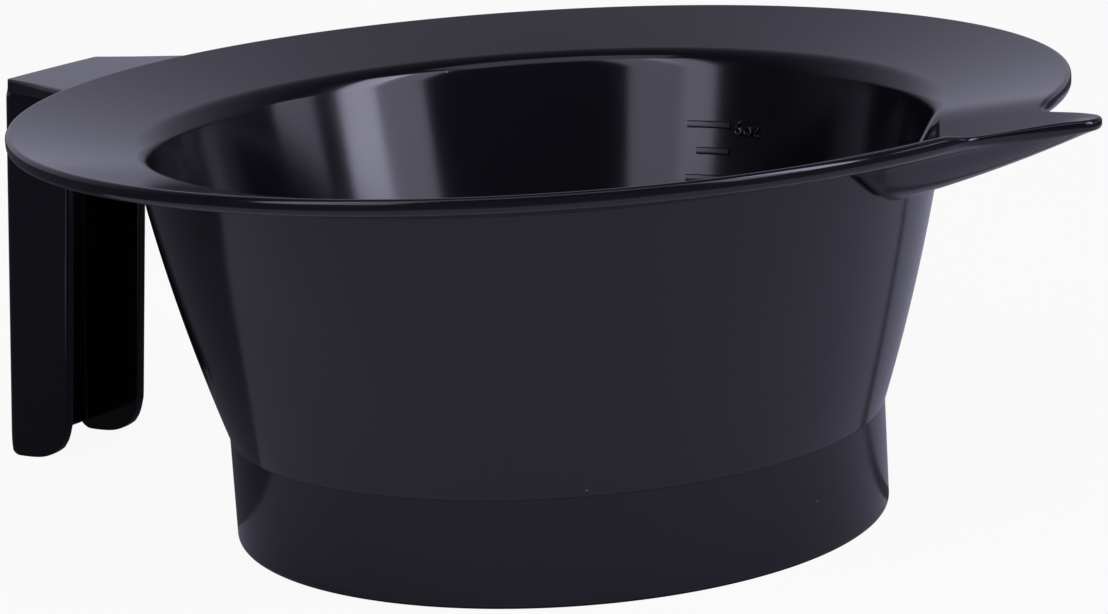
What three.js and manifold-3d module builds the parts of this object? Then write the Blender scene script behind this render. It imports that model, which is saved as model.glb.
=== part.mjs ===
// Hair colour mixing bowl: a small tapered cup on a hollow foot, with a wide dished rim,
// a pouring spout in the rim, a channel-shaped grip opposite it and a fluid-ounce scale inside.
// Millimetres. +Z is up, +X points from the bowl's axis to the spout and -X to the grip.
// The origin is on the bowl's axis, at the level of the table.

import * as THREE from 'three';
import { mergeVertices } from 'three/addons/utils/BufferGeometryUtils.js';
import Module from 'manifold-3d';

const wasm = await Module();
wasm.setup();

// ---- Driving dimensions ----

// Cup
const footRadius = 44.4;          // outer radius of the foot, and of the cup where it meets it
const footHeight = 14.3;          // table to the crease between foot and cup
const footThickness = 2.2;        // wall of the hollow foot
const footEdgeRound = 0.7;        // rounding of the foot's lower edges
const wallThickness = 2.0;        // side of the cup
const wallTopRadius = 54.2;       // outer radius of the side at the height of the lip
const wallBow = 0.84;             // how far the side bulges past a straight cone
const lipHeight = 54.0;           // where the dished rim and the inside of the cup would meet
const lipRound = 3.0;             // rounding of that corner
const floorRise = 4.2;            // inside floor of the cup, above the crease
const floorThickness = 2.4;
const floorCove = 3.5;            // rounding between the floor and the side

// Rim
const rimRadius = 70.45;
const rimRise = 4.3;              // top of the rim's outer edge, above the lip
const rimThickness = 2.1;
const rimEdgeRound = 0.72;        // rounding of the upper and the lower outer edge
const rimUnderRound = 1.0;        // rounding between the rim's underside and the side
const collarDrop = 2.5;           // the side ends and the rim's collar begins this far under the lip

// Spout
const spoutLength = 12.05;        // tip, beyond the rim's circle
const spoutHalfAngle = 30.0;      // of the point, seen from above, in degrees
const spoutTipRound = 3.7;        // rounding of the point
const spoutRootRound = 1.1;       // softness of the corner between the spout and the rim's circle
const spoutRise = 0.3;            // height of the tip's edge above the rim
const spoutSlotHalfWidth = 20.0;  // half width of the gap in the rim that the spout fills
const keelDrop = 7.4;             // from the lip down to the keel where it leaves the side
const keelSlope = 0.36;           // rise of the keel per millimetre outwards
const keelSideSlope = 0.62;       // rise of the keel's faces per millimetre sideways
const keelRound = 2.0;            // softness of the keel's edge
const spoutFloor = 2.1;           // thickness over the keel
const spoutLip = 1.2;             // thickness of the spout's edge
const spoutLipRun = 4.0;          // the rim thins to that within this distance of its edge
const troughSlope = 0.4;          // rise of the trough's faces per millimetre sideways
const troughRound = 1.2;          // softness of the trough's bottom
const troughShoulder = 0.15;      // softness of its upper edges, as a share of its depth

// Handle
const armDrop = 1.0;              // top of the flat arm, below the top of the rim's edge
const armThickness = 2.0;
const armLength = 17.8;           // outer end of the arm, beyond the rim's circle
const armEndHalfWidth = 8.8;      // half width that its sides would have at the very end
const armEndFlare = 12.4;         // each side opens this much there, in degrees
const armRootFlare = 33.1;        // and this much where it meets the rim
const armRootHalfWidth = 17.3;    // half width where it meets the rim
const armCornerRound = 3.3;       // rounding of the arm's outer corners, seen from above
const gripLean = 6.0;             // outward lean of the grip, in degrees
const gripHalfWidth = 8.35;       // over the two flanges
const gripDepth = 13.2;           // flange depth under the arm, from the web's outer face
const gripTaper = 0.016;          // the flanges lose this much depth per millimetre downwards
const gripBottom = 0.35;          // lower end of the flanges, above the table
const webThickness = 1.8;
const webBottom = 1.3;            // lower end of the web, above the table
const flangeThickness = 1.7;
const lobeInnerRound = 8.5;       // rounding of a flange's lower end, on the side of the cup
const lobeOuterRound = 2.8;       // the same on the outside

// Scale inside the cup
const ounce = 29574;              // one US fluid ounce in cubic millimetres
const ouncesShown = 6;
const markAngle = 91.7;           // where every mark ends, in degrees about +Z from +X
const longMark = 7.9;             // angular length of the even marks
const shortMark = 6.1;            // angular length of the odd marks
const markHeight = 0.85;
const markRelief = 0.3;
const labelHeight = 1.9;
const labelStroke = 0.34;
const labelSpacing = 0.35;        // gap between two characters
const labelGap = 0.7;             // gap between a mark and its label

// Fits
const seam = 0.1;                 // gap where one member is cut to the shape of another
const markGap = 0.1;              // gap between the wall and what stands on it

// Fineness
const turns = 60;                 // facets around the bowl
const wallSteps = 7;              // facets up the side
const roundSteps = 3;             // facets of a small rounding
const arcSteps = 8;               // facets of a drawn curve

// ---- Places that follow from those sizes ----

const floorTop = footHeight + floorRise;
const rimHeight = lipHeight + rimRise;
const collarHeight = lipHeight - collarDrop;
const spoutReach = rimRadius + spoutLength;
const keelStart = lipHeight - keelDrop;
const armTop = rimHeight - armDrop;
const armEnd = rimRadius + armLength;
const degree = Math.PI / 180;

const plastic = { color: 0x0b0b10, roughness: 0.18, metalness: 0 };

// ---- Profile of the bowl: every radius and height comes from these functions ----

const rimSlope = (rimHeight - lipHeight) / (rimRadius - (wallTopRadius - wallThickness));
const rimCosine = 1 / Math.hypot(1, rimSlope);

function wallOuter(height) {
  const share = (height - footHeight) / (lipHeight - footHeight);
  return footRadius + (wallTopRadius - footRadius) * share + 4 * wallBow * share * (1 - share);
}

function wallInner(height) {
  return wallOuter(height) - wallThickness;
}

// The rim's upper face rises to its edge, and the spout's edge goes on rising a little to the tip.
function rimTopAt(radius) {
  const past = Math.min(radius, rimRadius) - (wallTopRadius - wallThickness);
  return lipHeight + past * rimSlope + pastRim(radius) * spoutRise;
}

// Share of the way from the rim's edge to the spout's tip.
function pastRim(radius) {
  return THREE.MathUtils.clamp((radius - rimRadius) / (spoutReach - rimRadius), 0, 1);
}

function rimUnderAt(radius) {
  return rimTopAt(radius) - rimThickness / rimCosine;
}

// Points of the arc that rounds the corner at `corner`, met from `from` and left towards `to`.
function roundedCorner(from, corner, to, radius, steps = roundSteps) {
  const back = from.clone().sub(corner).normalize();
  const ahead = to.clone().sub(corner).normalize();
  const half = Math.acos(THREE.MathUtils.clamp(back.dot(ahead), -1, 1)) / 2;
  const reach = radius / Math.tan(half);
  const start = corner.clone().addScaledVector(back, reach);
  const end = corner.clone().addScaledVector(ahead, reach);
  const inward = back.clone().add(ahead).normalize();
  const centre = corner.clone().addScaledVector(inward, radius / Math.sin(half));
  const startAngle = Math.atan2(start.y - centre.y, start.x - centre.x);
  const endAngle = Math.atan2(end.y - centre.y, end.x - centre.x);
  const sweep = THREE.MathUtils.euclideanModulo(endAngle - startAngle + Math.PI, 2 * Math.PI) - Math.PI;
  return Array.from({ length: steps + 1 }, (_, step) => {
    const angle = startAngle + (sweep * step) / steps;
    return new THREE.Vector2(centre.x + radius * Math.cos(angle), centre.y + radius * Math.sin(angle));
  });
}

// ---- Solids ----

// A profile of (radius, height) points turned about the bowl's axis.
function turned(profile) {
  const closed = profile[0].x > 0 ? [...profile, profile[0]] : profile;
  const geometry = new THREE.LatheGeometry(closed, turns);
  return geometry.rotateX(Math.PI / 2);
}

// An outline in the plane of X and Z, centred on the plane Y = middle.
function slabAcross(shape, thickness, middle) {
  const geometry = new THREE.ExtrudeGeometry(shape, { depth: thickness, bevelEnabled: false });
  geometry.rotateX(Math.PI / 2);
  return geometry.translate(0, middle + thickness / 2, 0);
}

// A closed skin between two sheets that have the same grid of rows and columns.
function betweenSheets(rows, columns, lower, upper) {
  const points = [];
  const faces = [];
  const across = columns + 1;
  const sheet = (rows + 1) * across;
  for (const place of [lower, upper]) {
    for (let row = 0; row <= rows; row++) {
      for (let column = 0; column <= columns; column++) {
        points.push(...place(row / rows, column / columns));
      }
    }
  }
  const quad = (a, b, c, d) => faces.push(a, b, c, a, c, d);
  for (let row = 0; row < rows; row++) {
    for (let column = 0; column < columns; column++) {
      const a = row * across + column;
      quad(a, a + 1, a + across + 1, a + across);
      quad(sheet + a, sheet + a + across, sheet + a + across + 1, sheet + a + 1);
    }
  }
  for (let row = 0; row < rows; row++) {
    const first = row * across;
    const last = first + columns;
    quad(first, first + across, sheet + first + across, sheet + first);
    quad(last, sheet + last, sheet + last + across, last + across);
  }
  for (let column = 0; column < columns; column++) {
    const far = rows * across + column;
    quad(column, sheet + column, sheet + column + 1, column + 1);
    quad(far, far + 1, sheet + far + 1, sheet + far);
  }
  const geometry = new THREE.BufferGeometry();
  geometry.setAttribute('position', new THREE.Float32BufferAttribute(points, 3));
  geometry.setIndex(faces);
  return geometry;
}

function toSolid(geometry) {
  const bare = new THREE.BufferGeometry();
  bare.setAttribute('position', geometry.getAttribute('position'));
  bare.setIndex(geometry.getIndex());
  const merged = mergeVertices(bare, 1e-4);
  const solid = new wasm.Manifold(new wasm.Mesh({
    numProp: 3,
    vertProperties: new Float32Array(merged.getAttribute('position').array),
    triVerts: new Uint32Array(merged.getIndex().array),
  }));
  return solid;
}

function toGeometry(solid) {
  const mesh = solid.getMesh();
  const geometry = new THREE.BufferGeometry();
  geometry.setAttribute('position', new THREE.BufferAttribute(new Float32Array(mesh.vertProperties), 3));
  geometry.setIndex(new THREE.BufferAttribute(new Uint32Array(mesh.triVerts), 1));
  return geometry;
}

// ---- Cup ----

function footRing() {
  const outer = footRadius;
  const inner = footRadius - footThickness;
  const top = new THREE.Vector2(outer, footHeight);
  const outerFoot = new THREE.Vector2(outer, 0);
  const innerFoot = new THREE.Vector2(inner, 0);
  const innerTop = new THREE.Vector2(inner, footHeight);
  return turned([
    innerTop,
    ...roundedCorner(innerTop, innerFoot, outerFoot, footEdgeRound),
    ...roundedCorner(innerFoot, outerFoot, top, footEdgeRound),
    top,
  ]);
}

function cupFloor() {
  const underside = floorTop - floorThickness;
  const centreTop = new THREE.Vector2(0, floorTop);
  const coveTop = floorTop + floorCove;
  const edge = new THREE.Vector2(wallInner(floorTop) - seam, floorTop);
  const up = new THREE.Vector2(wallInner(coveTop) - seam, coveTop);
  return turned([
    new THREE.Vector2(0, underside),
    new THREE.Vector2(wallInner(underside) - seam, underside),
    edge,
    ...roundedCorner(up, edge, centreTop, floorCove, 2 * roundSteps),
    centreTop,
  ]);
}

// The whole side of the cup, up to the lip, before the rim's collar and the spout are cut out of it.
function fullWall() {
  const heights = Array.from({ length: wallSteps + 1 }, (_, step) =>
    THREE.MathUtils.lerp(footHeight, lipHeight, step / wallSteps));
  const outer = heights.map((height) => new THREE.Vector2(wallOuter(height), height));
  const inner = heights.map((height) => new THREE.Vector2(wallInner(height), height));
  return turned([...outer, ...inner.reverse()]);
}

// Everything above the collar's lower end, apart from the width of the spout.
function aboveCollar() {
  const reach = 2 * rimRadius;
  const clear = rimHeight;
  const block = new THREE.BoxGeometry(reach, reach, clear);
  block.translate(0, 0, collarHeight + clear / 2);
  return toSolid(block).subtract(spoutSlot(0));
}

function cupWall() {
  return toGeometry(toSolid(fullWall()).subtract(aboveCollar()).subtract(underSpout()));
}

// ---- Rim ----

function rimFlange() {
  const lip = new THREE.Vector2(wallInner(lipHeight), lipHeight);
  const innerFoot = new THREE.Vector2(wallInner(collarHeight), collarHeight);
  const outerFoot = new THREE.Vector2(wallOuter(collarHeight), collarHeight);
  const armpitRadius = wallOuter(rimUnderAt(wallTopRadius));
  const armpit = new THREE.Vector2(armpitRadius, rimUnderAt(armpitRadius));
  const topEdge = new THREE.Vector2(rimRadius, rimTopAt(rimRadius));
  const lowEdge = new THREE.Vector2(rimRadius, rimUnderAt(rimRadius));
  const ring = turned([
    innerFoot,
    outerFoot,
    ...roundedCorner(outerFoot, armpit, lowEdge, rimUnderRound),
    ...roundedCorner(armpit, lowEdge, topEdge, rimEdgeRound),
    ...roundedCorner(lowEdge, topEdge, lip, rimEdgeRound),
    ...roundedCorner(topEdge, lip, innerFoot, lipRound, 2 * roundSteps),
  ]);
  return toGeometry(toSolid(ring).subtract(spoutSlot(seam)));
}

// ---- Spout ----

// The block of space, as wide as the spout with a gap on each side, that it takes out of the rim.
function spoutSlot(gap) {
  const width = 2 * (spoutSlotHalfWidth + gap);
  const block = new THREE.BoxGeometry(2 * rimRadius, width, 2 * rimHeight);
  return toSolid(block.translate(rimRadius, 0, rimHeight));
}

function softMinimum(a, b, softness) {
  return (a + b - Math.hypot(a - b, softness)) / 2;
}

function softMaximum(a, b, softness) {
  return (a + b + Math.hypot(a - b, softness)) / 2;
}

// Distance from the spout's middle plane, rounded off at the plane itself.
function softDistance(y, softness) {
  return Math.hypot(y, softness) - softness;
}

// How far out the spout or the rim reaches at a distance y from the spout's middle.
function outlineAt(y) {
  const circle = Math.sqrt(rimRadius ** 2 - y ** 2);
  const point = spoutReach + spoutTipRound * (1 / Math.sin(spoutHalfAngle * degree) - 1);
  const side = point - Math.abs(y) / Math.tan(spoutHalfAngle * degree);
  const tipHalfWidth = spoutTipRound * Math.cos(spoutHalfAngle * degree);
  const tipCentre = spoutReach - spoutTipRound;
  const tip = tipCentre + Math.sqrt(Math.max(spoutTipRound ** 2 - y ** 2, 0));
  return softMaximum(circle, Math.abs(y) < tipHalfWidth ? tip : side, spoutRootRound);
}

function keelAt(x) {
  return keelStart + keelSlope * (x - wallTopRadius);
}

function spoutUnder(x, y) {
  const radius = Math.hypot(x, y);
  const thinned = THREE.MathUtils.clamp((radius - rimRadius) / spoutLipRun, 0, 1);
  const flat = rimTopAt(radius) - THREE.MathUtils.lerp(rimThickness / rimCosine, spoutLip, thinned);
  return softMinimum(flat, keelAt(x) + keelSideSlope * softDistance(y, keelRound), rimUnderRound);
}

function spoutOver(x, y) {
  const flat = rimTopAt(Math.hypot(x, y));
  const bottom = keelAt(x) + spoutFloor;
  const softness = troughShoulder * Math.max(flat - bottom, spoutLip);
  return softMinimum(flat, bottom + troughSlope * softDistance(y, troughRound), softness);
}

const spoutRows = 12;
const spoutColumns = 40;

// One sheet of the spout: rows run outwards from the inside of the cup, columns across.
function spoutSheet(heightAt, drop = 0, pastInside = 0, reach = 0) {
  return (row, column) => {
    const y = THREE.MathUtils.lerp(-spoutSlotHalfWidth, spoutSlotHalfWidth, column);
    const innerEnd = Math.sqrt((wallTopRadius - wallThickness) ** 2 - y ** 2);
    const innerRadius = wallInner(heightAt(innerEnd, y)) - pastInside;
    const start = Math.sqrt(innerRadius ** 2 - y ** 2);
    const x = THREE.MathUtils.lerp(start, outlineAt(y) + reach, row);
    return [x, y, heightAt(x, y) - drop];
  };
}

function pourSpout() {
  return betweenSheets(spoutRows, spoutColumns, spoutSheet(spoutUnder), spoutSheet(spoutOver));
}

// The space that the spout takes out of the side of the cup: all that is above its underside.
function underSpout() {
  const margin = 2 * wallThickness;
  const lower = spoutSheet(spoutUnder, seam, margin);
  const upper = spoutSheet(() => 2 * rimHeight, 0, margin);
  const inward = (row, column) => {
    const [x, y] = lower(row, column);
    return [x, y, upper(row, column)[2]];
  };
  return toSolid(betweenSheets(spoutRows, spoutColumns, lower, inward));
}

// ---- Handle ----

const gripTop = armTop - armThickness;

// Distance of the web's outer face from the bowl's axis.
function webFaceAt(height) {
  return armEnd + (armTop - height) * Math.tan(gripLean * degree);
}

// Distance of the flanges' free edges from the bowl's axis.
function freeEdgeAt(height) {
  return webFaceAt(height) - gripDepth + (gripTop - height) * gripTaper;
}

// The arm's outline, seen from above: it widens along a curve from its rounded end to the rim.
function handleArm() {
  const start = rimRadius + seam;
  const rootAngle = Math.asin(armRootHalfWidth / start);
  const root = new THREE.Vector2(-start * Math.cos(rootAngle), armRootHalfWidth);
  const end = new THREE.Vector2(-armEnd, armEndHalfWidth);
  const endSlope = Math.tan(armEndFlare * degree);
  const rootSlope = Math.tan(armRootFlare * degree);
  const run = (root.y - end.y - rootSlope * (root.x - end.x)) / (endSlope - rootSlope);
  const bend = new THREE.Vector2(end.x + run, end.y + run * endSlope);
  const side = new THREE.QuadraticBezierCurve(root, bend, end).getPoints(arcSteps).slice(0, -1);
  const nearEnd = new THREE.Vector2(-armEnd, 0);
  const corner = roundedCorner(side.at(-1), end, nearEnd, armCornerRound);
  const half = [...side.filter((point) => point.x > corner[0].x), ...corner];
  const mirrored = half.map((point) => new THREE.Vector2(point.x, -point.y)).reverse();
  const shape = new THREE.Shape([...half, ...mirrored]);
  shape.absarc(0, 0, start, Math.PI + rootAngle, Math.PI - rootAngle, true);
  const geometry = new THREE.ExtrudeGeometry(shape, {
    depth: armThickness,
    bevelEnabled: false,
    curveSegments: 2 * roundSteps,
  });
  return geometry.translate(0, 0, gripTop);
}

function gripWeb() {
  const low = webFaceAt(webBottom);
  const high = webFaceAt(gripTop);
  const shape = new THREE.Shape([
    new THREE.Vector2(-high, gripTop),
    new THREE.Vector2(-low, webBottom),
    new THREE.Vector2(-low + webThickness, webBottom),
    new THREE.Vector2(-high + webThickness, gripTop),
  ]);
  return slabAcross(shape, 2 * (gripHalfWidth - flangeThickness), 0);
}

function gripFlange(side) {
  const face = (height) => new THREE.Vector2(-webFaceAt(height), height);
  const free = (height) => new THREE.Vector2(-freeEdgeAt(height), height);
  const low = gripBottom;
  const outline = [
    face(gripTop),
    ...roundedCorner(face(gripTop), face(low), free(low), lobeOuterRound),
    ...roundedCorner(face(low), free(low), free(gripTop), lobeInnerRound, 3 * roundSteps),
    free(gripTop),
  ];
  const middle = side * (gripHalfWidth - flangeThickness / 2);
  return slabAcross(new THREE.Shape(outline), flangeThickness, middle);
}

// ---- Scale ----

// Height of the liquid's surface when the cup holds this volume, found by adding thin discs.
function levelOf(volume) {
  const step = 0.05;
  let height = floorTop;
  let held = 0;
  while (held < volume) {
    const middle = height + step / 2;
    const up = Math.min((middle - floorTop) / floorCove, 1);
    const cove = floorCove * (1 - Math.sqrt(1 - (1 - up) ** 2));
    held += Math.PI * (wallInner(middle) - cove) ** 2 * step;
    height += step;
  }
  return height;
}

// A point on the inside of the cup, `lift` millimetres in from the wall.
function onWall(angle, height, lift) {
  const radius = wallInner(height) - lift;
  return [radius * Math.cos(angle), radius * Math.sin(angle), height];
}

function scaleMark(height, length) {
  const rows = 1;
  const columns = 4;
  const sheet = (lift) => (row, column) => {
    const angle = (markAngle + length * column) * degree;
    return onWall(angle, height + (row - 0.5) * markHeight, lift);
  };
  return betweenSheets(rows, columns, sheet(markGap), sheet(markGap + markRelief));
}

// Characters are drawn with strokes. Each stroke is a list of points, in a box from (0, 0) to
// (the character's width, labelHeight).

const digitWidth = 0.6 * labelHeight;
const lowerCase = 0.65 * labelHeight;

function arc(centreX, centreY, radius, from, to) {
  return Array.from({ length: arcSteps + 1 }, (_, step) => {
    const angle = THREE.MathUtils.lerp(from, to, step / arcSteps) * degree;
    return [centreX + radius * Math.cos(angle), centreY + radius * Math.sin(angle)];
  });
}

const half = digitWidth / 2;
const crossBar = 0.3 * labelHeight;
const stem = 0.72 * digitWidth;
const characters = {
  2: [[...arc(half, labelHeight - half, half, 170, -35), [0, 0], [digitWidth, 0]]],
  4: [[[stem, 0], [stem, labelHeight], [0, crossBar], [digitWidth, crossBar]]],
  6: [
    arc(half, half, half, 0, 360),
    [[0, half], [0.2 * half, 0.62 * labelHeight], [1.4 * half, labelHeight]],
  ],
  o: [arc(lowerCase / 2, lowerCase / 2, lowerCase / 2, 0, 360)],
  z: [[[0, lowerCase], [0.8 * lowerCase, lowerCase], [0, 0], [0.8 * lowerCase, 0]]],
};
const characterWidths = { 2: digitWidth, 4: digitWidth, 6: digitWidth, o: lowerCase, z: 0.8 * lowerCase };

// A straight stroke from one point to the next, as a bar with pointed ends.
function strokeBar([x0, y0], [x1, y1]) {
  const along = new THREE.Vector2(x1 - x0, y1 - y0).setLength(labelStroke / 2);
  const across = new THREE.Vector2(-along.y, along.x);
  const corner = (x, y, ahead, aside) => new THREE.Vector2(x, y)
    .addScaledVector(along, ahead).addScaledVector(across, aside);
  const shape = new THREE.Shape([
    corner(x0, y0, 0, -1),
    corner(x1, y1, 0, -1),
    corner(x1, y1, 1, 0),
    corner(x1, y1, 0, 1),
    corner(x0, y0, 0, 1),
    corner(x0, y0, -1, 0),
  ]);
  return toSolid(new THREE.ExtrudeGeometry(shape, { depth: markRelief, bevelEnabled: false }));
}

function drawCharacter(name) {
  const bars = characters[name].flatMap((stroke) =>
    stroke.slice(1).map((point, index) => strokeBar(stroke[index], point)));
  return bars.reduce((joined, bar) => joined.add(bar));
}

// A character standing on the wall, `along` millimetres past the end of the marks.
function labelCharacter(name, height, along) {
  const geometry = toGeometry(drawCharacter(name));
  const radius = wallInner(height);
  const width = characterWidths[name];
  const angle = markAngle * degree - (along + width / 2) / radius;
  const lean = Math.atan2(wallInner(height + 1) - wallInner(height - 1), 2);
  const place = new THREE.Matrix4();
  const away = new THREE.Vector3(Math.cos(angle), Math.sin(angle), 0);
  const side = new THREE.Vector3(Math.sin(angle), -Math.cos(angle), 0);
  const up = new THREE.Vector3(0, 0, Math.cos(lean)).addScaledVector(away, Math.sin(lean));
  const out = new THREE.Vector3().crossVectors(side, up);
  place.makeBasis(side, up, out);
  const lift = 2 * markGap;
  place.setPosition(away.clone().multiplyScalar(radius).setZ(height).addScaledVector(out, lift));
  geometry.translate(-width / 2, -labelHeight / 2, 0);
  return geometry.applyMatrix4(place);
}

// ---- Assembly ----

const bowl = new THREE.Group();

function addPart(name, geometry, parent = bowl) {
  const material = new THREE.MeshStandardMaterial(plastic);
  const mesh = new THREE.Mesh(geometry, material);
  mesh.name = name;
  parent.add(mesh);
}

addPart('foot_ring', footRing());
addPart('cup_floor', cupFloor());
addPart('cup_wall', cupWall());
addPart('rim_flange', rimFlange());
addPart('pour_spout', pourSpout());

const handle = new THREE.Group();
bowl.add(handle);
addPart('handle_arm', handleArm(), handle);
addPart('grip_web', gripWeb(), handle);
addPart('grip_flange_right', gripFlange(-1), handle);
addPart('grip_flange_left', gripFlange(1), handle);

const scale = new THREE.Group();
bowl.add(scale);
for (let count = 1; count <= ouncesShown; count++) {
  const height = levelOf(count * ounce);
  const even = count % 2 === 0;
  addPart(`scale_mark_${count}oz`, scaleMark(height, even ? longMark : shortMark), scale);
  if (even) {
    let along = labelGap;
    for (const name of [String(count), 'o', 'z']) {
      addPart(`scale_label_${count}oz_${name}`, labelCharacter(name, height, along), scale);
      along += characterWidths[name] + labelSpacing;
    }
  }
}

export default bowl;
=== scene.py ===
import math
from types import SimpleNamespace

import bmesh
import bpy
from bpy.props import FloatProperty, FloatVectorProperty, PointerProperty, StringProperty
from mathutils import Matrix, Vector


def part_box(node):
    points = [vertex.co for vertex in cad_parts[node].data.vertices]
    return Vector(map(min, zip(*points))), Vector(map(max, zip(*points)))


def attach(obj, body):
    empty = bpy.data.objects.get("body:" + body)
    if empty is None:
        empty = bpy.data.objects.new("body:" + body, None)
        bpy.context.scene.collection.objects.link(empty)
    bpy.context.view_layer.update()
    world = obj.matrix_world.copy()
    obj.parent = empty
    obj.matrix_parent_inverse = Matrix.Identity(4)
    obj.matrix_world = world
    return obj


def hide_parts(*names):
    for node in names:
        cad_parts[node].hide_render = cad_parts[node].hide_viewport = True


bl_info = {
    "name": "Hair Colour Bowl",
    "version": (1, 0, 0),
    "blender": (4, 5, 0),
    "location": "3D View > Sidebar > Bowl",
    "description": "Moulds a black hair colour mixing bowl with a spout, a grip and an ounce scale",
    "category": "Add Mesh",
}

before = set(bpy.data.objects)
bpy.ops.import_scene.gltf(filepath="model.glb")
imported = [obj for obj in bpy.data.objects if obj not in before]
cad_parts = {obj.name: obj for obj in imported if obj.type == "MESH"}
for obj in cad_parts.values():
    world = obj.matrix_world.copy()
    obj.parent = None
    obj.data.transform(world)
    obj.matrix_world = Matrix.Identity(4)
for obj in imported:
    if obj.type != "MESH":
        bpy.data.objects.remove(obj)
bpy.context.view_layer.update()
MM = 0.001


def cad(node):
    """Lowest and highest corner of a CAD node, in millimetres."""
    return [Vector(corner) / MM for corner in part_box(node)]


FOOT = cad("foot_ring")
FLOOR = cad("cup_floor")
RIM = cad("rim_flange")
SPOUT = cad("pour_spout")
WALL_RADIUS = 54.2
KEEL_RUN = SPOUT[1].x - WALL_RADIUS
ARM = cad("handle_arm")
WEB = cad("grip_web")
FLANGE = cad("grip_flange_left")

# cosines of the angles from the spout beyond which there is no point, and no trough
POINT_SIDE = 0.5
TROUGH_SIDE = 0.7
# short step for the slope of a curve, in millimetres
SLOPE_STEP = 0.05
# how deep the scale is sunk into the wall, in millimetres
SUNK = 0.08


def length(name, description, default):
    """A size that a user may change, given here in millimetres."""
    return FloatProperty(name=name, description=description, default=default * MM, unit="LENGTH",
                         precision=5, min=0.0)


def angle(name, description, default):
    return FloatProperty(name=name, description=description, default=math.radians(default),
                         unit="ROTATION")


def hex_to_linear(code):
    """An sRGB hex colour as linear RGBA."""
    channels = [int(code[i:i + 2], 16) / 255 for i in (0, 2, 4)]
    linear = [c / 12.92 if c <= 0.04045 else ((c + 0.055) / 1.055) ** 2.4 for c in channels]
    return (*linear, 1.0)


def colour(name, description, code):
    return FloatVectorProperty(name=name, description=description, default=hex_to_linear(code),
                               subtype="COLOR", size=4, min=0.0, max=1.0)


# ---- What a user can change ----

class HAIRBOWL_PG_cup(bpy.types.PropertyGroup):
    """Sizes of the cup, its foot, its rim and its spout."""
    foot_radius: length("Foot radius", "Outside of the foot, and of the cup at the crease", FOOT[1].y)
    foot_height: length("Foot height", "Table to the crease", FOOT[1].z)
    foot_wall: length("Foot wall", "Wall of the hollow foot", 2.2)
    wall: length("Wall", "Thickness of the cup's side", 2.0)
    wall_radius: length("Wall radius", "Outside of the side at the height of the lip", WALL_RADIUS)
    wall_bow: length("Wall bow", "How far the side bulges past a cone", 0.84)
    lip_height: length("Lip height", "Where the rim and the inside of the cup would meet", 54.0)
    lip_round: length("Lip rounding", "Rounding of that corner", 3.0)
    floor_top: length("Floor", "Height of the inside floor", FLOOR[0].z + 2.4)
    floor_wall: length("Floor thickness", "Thickness of the floor", 2.4)
    floor_cove: length("Cove", "Rounding between the floor and the side", 3.5)
    rim_radius: length("Rim radius", "Outside of the rim", RIM[1].y)
    rim_height: length("Rim height", "Top of the rim's outer edge", 58.3)
    rim_wall: length("Rim thickness", "Thickness of the rim", 2.1)
    rim_edge: length("Rim edge", "Rounding of the rim's upper and lower edge", 0.72)
    armpit: length("Rim root", "Rounding between the rim's underside and the side", 1.1)
    spout_reach: length("Spout reach", "From the bowl's axis to the tip", SPOUT[1].x)
    spout_angle: angle("Spout half angle", "Half of the point's angle, seen from above", 30.0)
    spout_tip: length("Spout tip", "Rounding of the point, seen from above", 3.0)
    spout_root: length("Spout root", "Width of the rounding between the point and the rim", 4.4)
    spout_rise: length("Spout rise", "Height of the tip's edge above the rim", 0.3)
    keel_height: length("Keel height", "Height of the keel where it leaves the side", 46.6)
    keel_slope: FloatProperty(name="Keel slope", description="Rise of the keel outwards", default=0.36)
    keel_sweep: FloatProperty(name="Keel sweep", description="How the keel steepens outwards, per mm",
                              default=0.0028)
    keel_sides: FloatProperty(name="Keel sides", description="Rise of its faces sideways", default=0.74)
    keel_round: length("Keel rounding", "Softness of the keel's edge", 3.6)
    trough_floor: length("Trough floor", "Thickness over the keel", 2.1)
    trough_slope: FloatProperty(name="Trough slope", description="Rise of the trough's faces sideways",
                                default=0.4)
    trough_round: length("Trough rounding", "Softness of the trough's bottom", 1.2)
    trough_shoulder: length("Trough shoulder", "Softness of the trough's upper edges", 1.3)
    spout_lip: length("Spout lip", "Thickness of the spout's edge", 1.0)
    spout_thinning: length("Thinning", "The rim thins to that over this distance", 4.0)


class HAIRBOWL_PG_grip(bpy.types.PropertyGroup):
    """Sizes of the arm and of the channel that hangs under it."""
    arm_top: length("Arm height", "Top of the flat arm", ARM[1].z)
    arm_wall: length("Arm thickness", "Thickness of the arm", ARM[1].z - ARM[0].z)
    arm_end: length("Arm end", "Outer end of the arm, from the bowl's axis", -ARM[0].x + 0.25)
    end_half: length("Arm end half width", "Half width of the arm at its very end", 9.2)
    root_half: length("Arm root half width", "Half width where it meets the rim", ARM[1].y)
    flare: angle("Flare", "Opening of each side of the arm at its end", 12.4)
    arm_corner: length("Arm corner", "Rounding of the arm's outer corners, seen from above", 2.6)
    arm_shoulder: length("Arm shoulder", "Rounding of the arm's outer end, seen from the side", 2.3)
    lean: angle("Lean", "Outward lean of the grip", 6.0)
    half: length("Half width", "Half width over the two flanges", FLANGE[1].y + 0.5)
    corner: length("Corner", "Rounding between the web and a flange, seen from above", 1.6)
    depth: length("Depth", "Depth of the flanges under the arm", 12.9)
    taper: FloatProperty(name="Taper", description="Depth lost per millimetre downwards", default=0.016)
    web: length("Web", "Thickness of the web", 1.8)
    flange: length("Flange", "Thickness of a flange", FLANGE[1].y - FLANGE[0].y)
    web_bottom: length("Web bottom", "Lower end of the web", WEB[0].z)
    bottom: length("Bottom", "Lower end of the flanges", 0.1)
    lobe_in: length("Inner lobe", "Rounding of a flange's lower end towards the cup", 6.0)
    lobe_out: length("Outer lobe", "Rounding of a flange's lower end on the outside", 2.8)


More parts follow.
